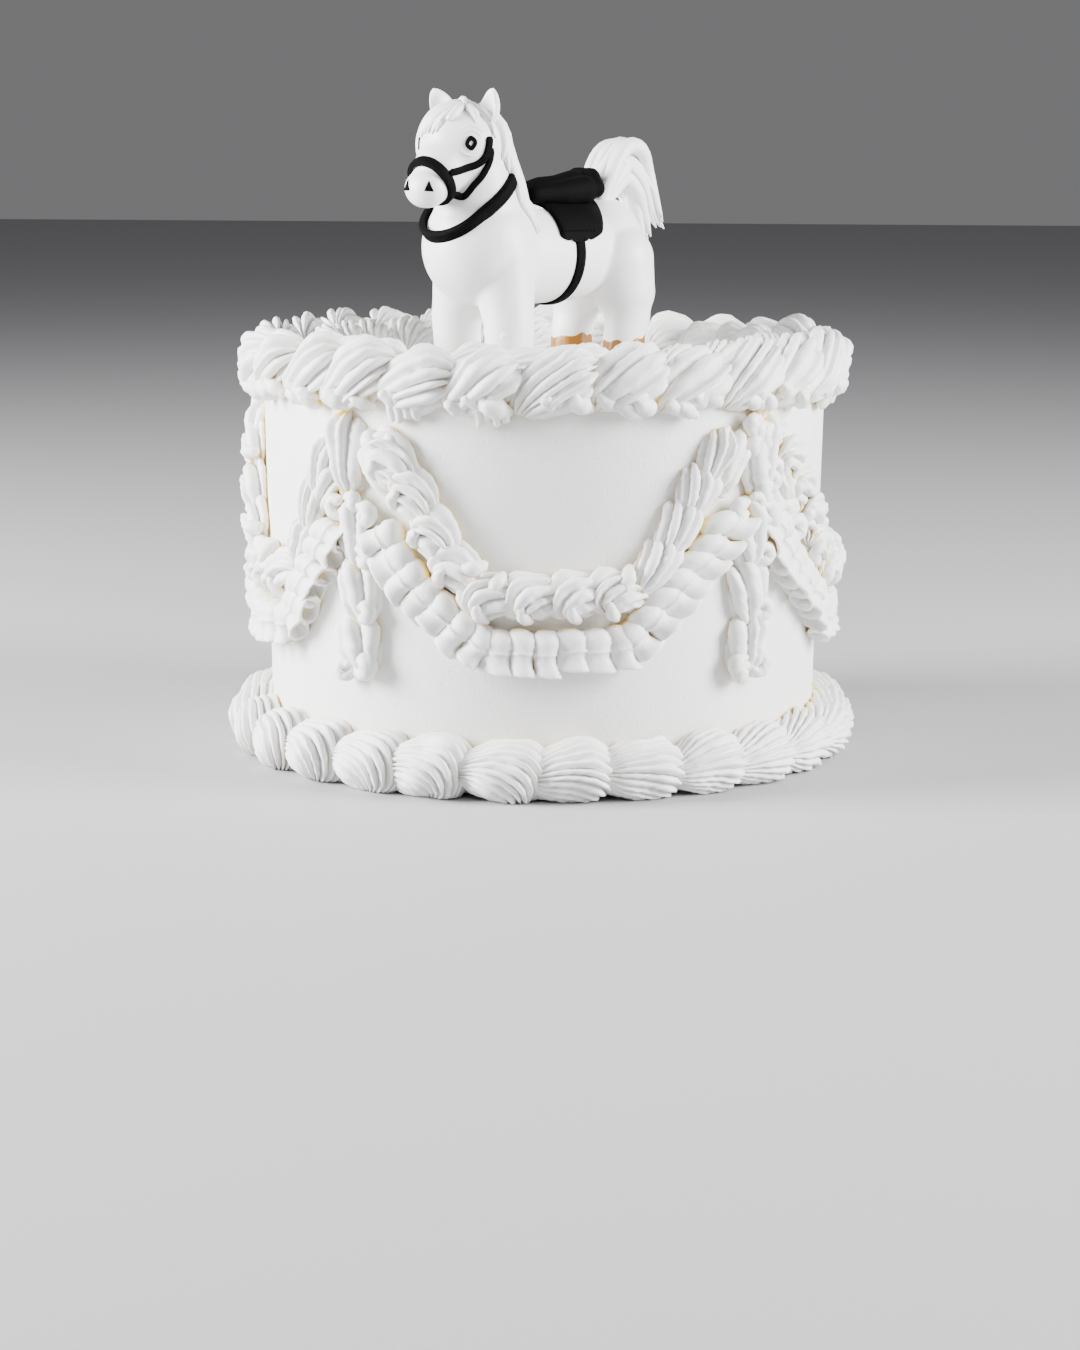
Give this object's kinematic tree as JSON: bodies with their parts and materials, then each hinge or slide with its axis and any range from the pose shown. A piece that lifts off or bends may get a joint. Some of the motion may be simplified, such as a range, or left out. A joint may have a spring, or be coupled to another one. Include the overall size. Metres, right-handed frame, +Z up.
{
  "type": "lace cake",
  "caption": "Tall round white cake with piped shell borders, hanging swags and frills, and a sugar pony in black tack on top.",
  "frame": {"origin": "centre of the cake's round base, on the plane it stands on", "axes": "+Z up, -Y the front that the picture shows, +X to the viewer's right"},
  "size_m": [0.2372, 0.2371, 0.245],
  "materials": {
    "smooth_cream": "smooth matt cream with fine pores",
    "piped_cream": "piped matt cream, warmer in deep gaps",
    "sugar_paste": "smooth satin sugar paste",
    "black_paste": "matt black sugar paste",
    "hoof_brown": "golden brown brushed sugar paste"
  },
  "bodies": {
    "root": {"breast_collar": "black_paste", "bridle_left": "black_paste", "bridle_right": "black_paste", "cake_body": "smooth_cream", "chain_1": "piped_cream", "chain_2": "piped_cream", "chain_3": "piped_cream", "chain_4": "piped_cream", "chain_5": "piped_cream", "crown_border": "piped_cream", "eye_left": "black_paste", "eye_right": "black_paste", "foot_border": "piped_cream", "frill_1": "piped_cream", "frill_2": "piped_cream", "frill_3": "piped_cream", "frill_4": "piped_cream", "frill_5": "piped_cream", "girth": "black_paste", "hoof_front_left": "hoof_brown", "hoof_front_right": "hoof_brown", "hoof_hind_left": "hoof_brown", "hoof_hind_right": "hoof_brown", "noseband": "black_paste", "pony_body": "sugar_paste", "pony_forelock": "sugar_paste", "pony_mane": "sugar_paste", "pony_tail": "sugar_paste", "rim_border": "piped_cream", "saddle_cloth": "black_paste", "saddle_seat": "black_paste", "swag_1": "piped_cream", "swag_2": "piped_cream", "swag_3": "piped_cream", "swag_4": "piped_cream", "swag_5": "piped_cream"}
  },
  "joints": []
}
